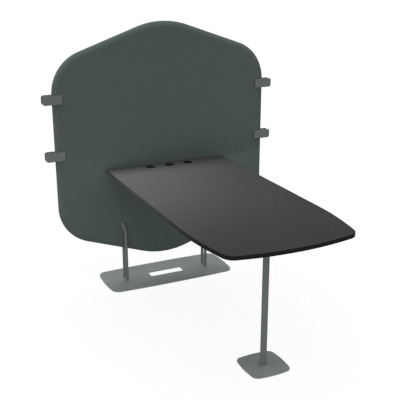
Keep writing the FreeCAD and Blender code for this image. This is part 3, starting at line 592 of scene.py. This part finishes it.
def mix_shaders(tree, factor, first, second):
    """Mix two shaders by a value or a socket."""
    mix = tree.nodes.new("ShaderNodeMixShader")
    for socket, value in zip(mix.inputs, (factor, first, second)):
        if isinstance(value, bpy.types.NodeSocket):
            tree.links.new(value, socket)
        else:
            socket.default_value = value
    return mix.outputs[0]


def white_floor(studio):
    """A pale floor that the camera sees as white, with the object's shadow kept."""
    material = bpy.data.materials.new("white_floor")
    material.use_nodes = True
    tree = material.node_tree
    tree.nodes.clear()
    paint, bounce = (tree.nodes.new("ShaderNodeBsdfDiffuse") for _ in range(2))
    for shader, tone in ((paint, FLOOR_WHITE), (bounce, studio.floor_bounce)):
        shader.inputs["Color"].default_value = (tone, tone, tone, 1)
    glow = tree.nodes.new("ShaderNodeEmission")
    lit = mix_shaders(tree, studio.floor_glow, paint.outputs[0], glow.outputs[0])
    output = tree.nodes.new("ShaderNodeOutputMaterial")
    tree.links.new(mix_shaders(tree, seen_directly(tree), bounce.outputs[0], lit), output.inputs["Surface"])
    bpy.ops.mesh.primitive_plane_add(size=studio.floor_size)
    floor = bpy.context.object
    floor.name = "studio_floor"
    floor.data.materials.append(material)


def overhead_sky(studio):
    """Soft white light from all round, stronger from above, and plain white behind the object."""
    world = bpy.data.worlds.new("studio")
    bpy.context.scene.world = world
    world.use_nodes = True
    tree = world.node_tree
    tree.nodes.clear()
    light, backdrop = (tree.nodes.new("ShaderNodeBackground") for _ in range(2))
    light.inputs["Color"].default_value = backdrop.inputs["Color"].default_value = (1, 1, 1, 1)
    backdrop.inputs["Strength"].default_value = 1.0
    way = tree.nodes.new("ShaderNodeTexCoord")
    parts = tree.nodes.new("ShaderNodeSeparateXYZ")
    spread = tree.nodes.new("ShaderNodeMapRange")
    spread.inputs["To Min"].default_value = studio.sky_low
    spread.inputs["To Max"].default_value = studio.sky_high
    output = tree.nodes.new("ShaderNodeOutputWorld")
    tree.links.new(way.outputs["Generated"], parts.inputs[0])
    tree.links.new(parts.outputs["Z"], spread.inputs["Value"])
    tree.links.new(spread.outputs[0], light.inputs["Strength"])
    tree.links.new(mix_shaders(tree, seen_directly(tree), light.outputs[0], backdrop.outputs[0]),
                   output.inputs["Surface"])


def front_fill(studio):
    """A weak softbox near the floor in front, for the shade under the work surface."""
    lamp = bpy.data.lights.new("front_fill", "AREA")
    lamp.energy = studio.fill_power
    lamp.size = studio.fill_size
    lamp.spread = studio.fill_spread
    holder = bpy.data.objects.new("front_fill", lamp)
    bpy.context.scene.collection.objects.link(holder)
    holder.location = studio.fill_place
    holder.visible_camera = False
    aim = Vector((0, SCREEN_Y, PAD_LOW.z)) - holder.location
    holder.rotation_euler = aim.to_track_quat("-Z", "Y").to_euler()


def light_only(holder, pieces):
    """Let a lamp light some pieces alone."""
    lit = bpy.data.collections.new(f"lit_by_{holder.name}")
    for piece in pieces:
        lit.objects.link(piece)
    holder.light_linking.receiver_collection = lit


def soft_spot(name, power, cone, softness, radius, place):
    """A soft spot lamp that the camera doesn't see."""
    lamp = bpy.data.lights.new(name, "SPOT")
    lamp.energy = power
    lamp.spot_size = cone
    lamp.spot_blend = softness
    lamp.shadow_soft_size = radius
    holder = bpy.data.objects.new(name, lamp)
    bpy.context.scene.collection.objects.link(holder)
    holder.location = place
    holder.visible_camera = False
    return holder


def desk_lamp(studio):
    """A soft spot that hangs over the back left of the work surface."""
    holder = soft_spot("desk_lamp", studio.lamp_power, studio.lamp_cone, LAMP_SOFTNESS,
                       studio.lamp_radius, studio.lamp_place)
    holder.rotation_euler = (-studio.lamp_tilt, 0, 0)
    light_only(holder, [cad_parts[name] for name in SURFACE])


def side_lamp(studio):
    """A soft spot beside the work surface, for the back of its left edge."""
    holder = soft_spot("side_lamp", studio.side_power, studio.side_cone, SIDE_SOFTNESS,
                       studio.side_radius, studio.side_place)
    holder.rotation_euler = (0, -math.pi / 2, 0)
    light_only(holder, [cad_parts["desk_edge_band"]])


def edge_light(studio):
    """Soft light from above, level with the screen, that picks out its rounded edge."""
    lamp = bpy.data.lights.new("edge_light", "SUN")
    lamp.energy = studio.edge_strength
    lamp.angle = studio.edge_spread
    holder = bpy.data.objects.new("edge_light", lamp)
    bpy.context.scene.collection.objects.link(holder)
    holder.rotation_euler = (-Vector(studio.edge_way)).to_track_quat("-Z", "Y").to_euler()
    light_only(holder, [bpy.data.objects[name] for name in COVERS])


def photo_camera(studio):
    """The camera at the photograph's place and angle."""
    data = bpy.data.cameras.new("photo_camera")
    data.lens = studio.lens
    data.sensor_width = 36.0
    camera = bpy.data.objects.new("photo_camera", data)
    bpy.context.scene.collection.objects.link(camera)
    camera.location = (studio.camera_x, SCREEN_Y + studio.camera_y, studio.camera_z)
    camera.rotation_euler = (math.pi / 2 - studio.pitch, 0, -studio.yaw)
    data.clip_end = studio.floor_size
    bpy.context.scene.camera = camera


class DESK_OT_studio(bpy.types.Operator):
    """Set up the floor, the light and the camera"""
    bl_idname = "desk.studio"
    bl_label = "Studio"

    def execute(self, context):
        studio = look("desk_studio")
        white_floor(studio)
        overhead_sky(studio)
        front_fill(studio)
        desk_lamp(studio)
        side_lamp(studio)
        edge_light(studio)
        photo_camera(studio)
        context.scene.view_settings.view_transform = "Standard"
        return {"FINISHED"}


OPERATORS = (DESK_OT_screen, DESK_OT_work_surface, DESK_OT_grommets, DESK_OT_steelwork,
             DESK_OT_fasteners, DESK_OT_studio)


class DESK_PT_sidebar(bpy.types.Panel):
    """Lists the pieces of the desk and their settings"""
    bl_idname = "DESK_PT_sidebar"
    bl_label = "Desk with privacy screen"
    bl_space_type = "VIEW_3D"
    bl_region_type = "UI"
    bl_category = "Desk"

    def draw(self, context):
        for operator in OPERATORS:
            self.layout.operator(operator.bl_idname)
        for name, group in SETTINGS.items():
            box = self.layout.box()
            box.label(text=group.__doc__)
            for prop in group.__annotations__:
                box.prop(getattr(context.scene, name), prop)


CLASSES = (*SETTINGS.values(), *OPERATORS, DESK_PT_sidebar)


def register():
    """Add the classes and the settings to Blender."""
    for item in CLASSES:
        bpy.utils.register_class(item)
    for name, group in SETTINGS.items():
        setattr(bpy.types.Scene, name, PointerProperty(type=group))


def unregister():
    """Take the settings and the classes out again."""
    for name in SETTINGS:
        delattr(bpy.types.Scene, name)
    for item in reversed(CLASSES):
        bpy.utils.unregister_class(item)


def main():
    """Make every piece in order."""
    register()
    bpy.ops.desk.screen()
    bpy.ops.desk.work_surface()
    bpy.ops.desk.grommets()
    bpy.ops.desk.steelwork()
    bpy.ops.desk.fasteners()
    bpy.ops.desk.studio()


if __name__ == "__main__":
    main()
